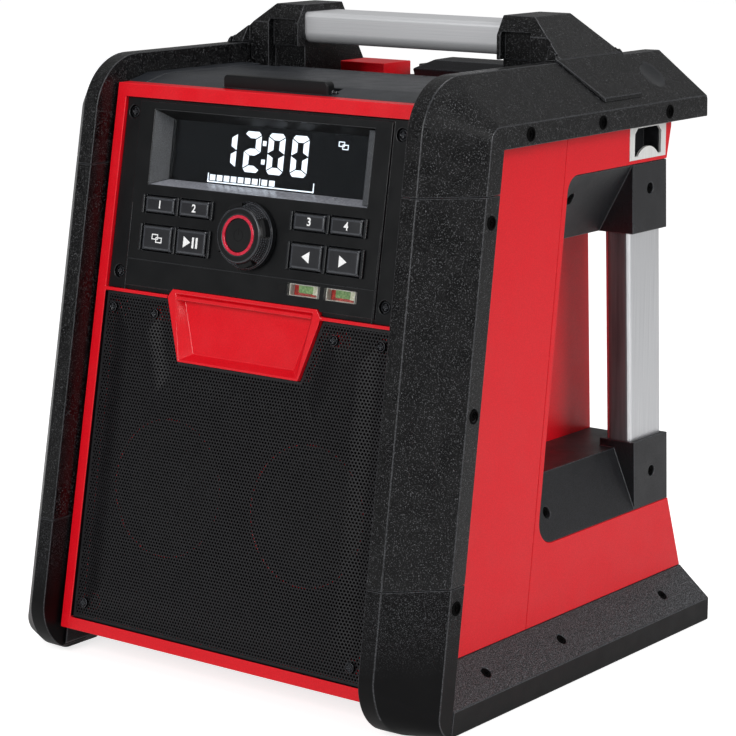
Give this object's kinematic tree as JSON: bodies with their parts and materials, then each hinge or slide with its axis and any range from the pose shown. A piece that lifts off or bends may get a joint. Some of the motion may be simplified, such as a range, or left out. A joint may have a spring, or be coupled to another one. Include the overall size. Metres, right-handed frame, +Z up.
{
  "type": "jobsite radio",
  "caption": "Jobsite radio with rubber bumpers, tube handles, leaning control panel and speaker grille, hinged storage lid and rear battery door.",
  "frame": {"origin": "middle of the footprint, on the floor", "axes": "+X to the radio's right-hand side as seen from the front, +Y from the front to the back, +Z up"},
  "size_m": [0.359, 0.357, 0.4375],
  "materials": {
    "red_plastic": "lightly textured moulded ABS",
    "black_plastic": "fine-textured glass-filled nylon",
    "black_rubber": "coarse-speckled overmoulded rubber, smooth on the lower pieces",
    "black_keys": null,
    "aluminium_tube": "satin anodised extrusion, fine lines along it",
    "black_steel": "black perforated sheet",
    "zinc_steel": "zinc-plated steel",
    "black_screw": "black-oxide steel",
    "smoked_glass": "smoked clear window",
    "clear_lens": "clear lens",
    "display_glass": null,
    "red_ring": "translucent red ring",
    "paper_cone": "coated pulp cone",
    "magnet_iron": "ferrite magnet between steel plates",
    "circuit_board": "green solder mask",
    "inner_plastic": "plain moulded plastic"
  },
  "bodies": {
    "root": {"base_tray": "black_plastic", "battery_terminal_block": "inner_plastic", "bottle_opener": "zinc_steel", "bracket_screws": "black_screw", "bumper_lower_left": "black_rubber", "bumper_lower_right": "black_rubber", "bumper_middle_left": "black_rubber", "bumper_middle_right": "black_rubber", "bumper_screws": "black_screw", "bumper_upper_left": "black_rubber", "bumper_upper_right": "black_rubber", "control_panel": "black_plastic", "display_module": "display_glass", "display_window": "smoked_glass", "door_hinge_pin": "zinc_steel", "front_housing": "red_plastic", "grille_screws": "black_screw", "grip_bracket_lower_left": "black_plastic", "grip_bracket_lower_right": "black_plastic", "grip_bracket_upper_left": "black_plastic", "grip_bracket_upper_right": "black_plastic", "handle_bracket_left": "black_plastic", "handle_bracket_right": "black_plastic", "indicator_lenses": "clear_lens", "keypad_board": "circuit_board", "lid_hinge_pin": "zinc_steel", "main_board": "circuit_board", "mains_inlet": "inner_plastic", "panel_screws": "black_screw", "power_supply": "inner_plastic", "rear_housing": "red_plastic", "rotary_encoder": "inner_plastic", "rubber_feet": "black_rubber", "side_grip_tube_left": "aluminium_tube", "side_grip_tube_right": "aluminium_tube", "speaker_baskets": "black_steel", "speaker_grille": "black_steel", "speaker_magnets": "magnet_iron", "storage_bin": "black_plastic", "top_deck": "black_plastic", "top_handle_tube": "aluminium_tube", "usb_port": "inner_plastic"},
    "knob": {"volume_knob": "black_keys", "knob_ring": "red_ring"},
    "power_button": {"power_button": "black_keys"},
    "lid": {"storage_lid": "black_plastic", "lid_seal": "black_rubber"},
    "lid_latch": {"lid_latch": "black_plastic"},
    "battery_door": {"battery_door": "black_plastic"},
    "door_latch": {"door_latch": "black_plastic"},
    "cone_left": {"speaker_cone_left": "paper_cone"},
    "cone_right": {"speaker_cone_right": "paper_cone"},
    "key_mode": {"button_mode": "black_keys"},
    "key_preset": {"button_preset": "black_keys"},
    "key_equaliser": {"button_equaliser": "black_keys"},
    "key_clock": {"button_clock": "black_keys"},
    "key_link": {"button_link": "black_keys"},
    "key_play": {"button_play": "black_keys"},
    "key_previous": {"button_previous": "black_keys"},
    "key_next": {"button_next": "black_keys"}
  },
  "joints": [
    {"name": "key_mode_press", "type": "slide", "parent": "root", "child": "key_mode", "axis": [0, 0.986, -0.1668], "range_m": [0, 0.0012], "stiffness_N_per_m": 900, "springref_m": -0.0006},
    {"name": "key_preset_press", "type": "slide", "parent": "root", "child": "key_preset", "axis": [0, 0.986, -0.1668], "range_m": [0, 0.0012], "stiffness_N_per_m": 900, "springref_m": -0.0006},
    {"name": "key_equaliser_press", "type": "slide", "parent": "root", "child": "key_equaliser", "axis": [0, 0.986, -0.1668], "range_m": [0, 0.0012], "stiffness_N_per_m": 900, "springref_m": -0.0006},
    {"name": "key_clock_press", "type": "slide", "parent": "root", "child": "key_clock", "axis": [0, 0.986, -0.1668], "range_m": [0, 0.0012], "stiffness_N_per_m": 900, "springref_m": -0.0006},
    {"name": "key_link_press", "type": "slide", "parent": "root", "child": "key_link", "axis": [0, 0.986, -0.1668], "range_m": [0, 0.0012], "stiffness_N_per_m": 900, "springref_m": -0.0006},
    {"name": "key_play_press", "type": "slide", "parent": "root", "child": "key_play", "axis": [0, 0.986, -0.1668], "range_m": [0, 0.0012], "stiffness_N_per_m": 900, "springref_m": -0.0006},
    {"name": "key_previous_press", "type": "slide", "parent": "root", "child": "key_previous", "axis": [0, 0.986, -0.1668], "range_m": [0, 0.0012], "stiffness_N_per_m": 900, "springref_m": -0.0006},
    {"name": "key_next_press", "type": "slide", "parent": "root", "child": "key_next", "axis": [0, 0.986, -0.1668], "range_m": [0, 0.0012], "stiffness_N_per_m": 900, "springref_m": -0.0006},
    {"name": "knob_turn", "type": "hinge", "parent": "root", "child": "knob", "pos_m": [0, -0.11567, 0.29955], "axis": [0, -0.986, 0.1668], "continuous": true},
    {"name": "power_press", "type": "slide", "parent": "root", "child": "power_button", "axis": [0, 0.986, -0.1668], "range_m": [0, 0.0012], "stiffness_N_per_m": 900, "springref_m": -0.0006},
    {"name": "lid_hinge", "type": "hinge", "parent": "root", "child": "lid", "pos_m": [0, 0.02188, 0.3921], "axis": [-1, 0, 0], "range_deg": [0, 100]},
    {"name": "lid_latch_turn", "type": "hinge", "parent": "lid", "child": "lid_latch", "pos_m": [0, -0.08492, 0.3933], "axis": [-1, 0, 0], "range_deg": [0, 50]},
    {"name": "battery_door_hinge", "type": "hinge", "parent": "root", "child": "battery_door", "pos_m": [0, 0.16388, 0.07], "axis": [-1, 0, 0], "range_deg": [0, 95]},
    {"name": "door_latch_turn", "type": "hinge", "parent": "battery_door", "child": "door_latch", "pos_m": [0, 0.15362, 0.3866], "axis": [-1, 0, 0], "range_deg": [0, 40]},
    {"name": "cone_left_stroke", "type": "slide", "parent": "root", "child": "cone_left", "axis": [0, -0.986, 0.1668], "range_m": [-0.0015, 0.0015], "stiffness_N_per_m": 2500},
    {"name": "cone_right_stroke", "type": "slide", "parent": "root", "child": "cone_right", "axis": [0, -0.986, 0.1668], "range_m": [-0.0015, 0.0015], "stiffness_N_per_m": 2500}
  ]
}
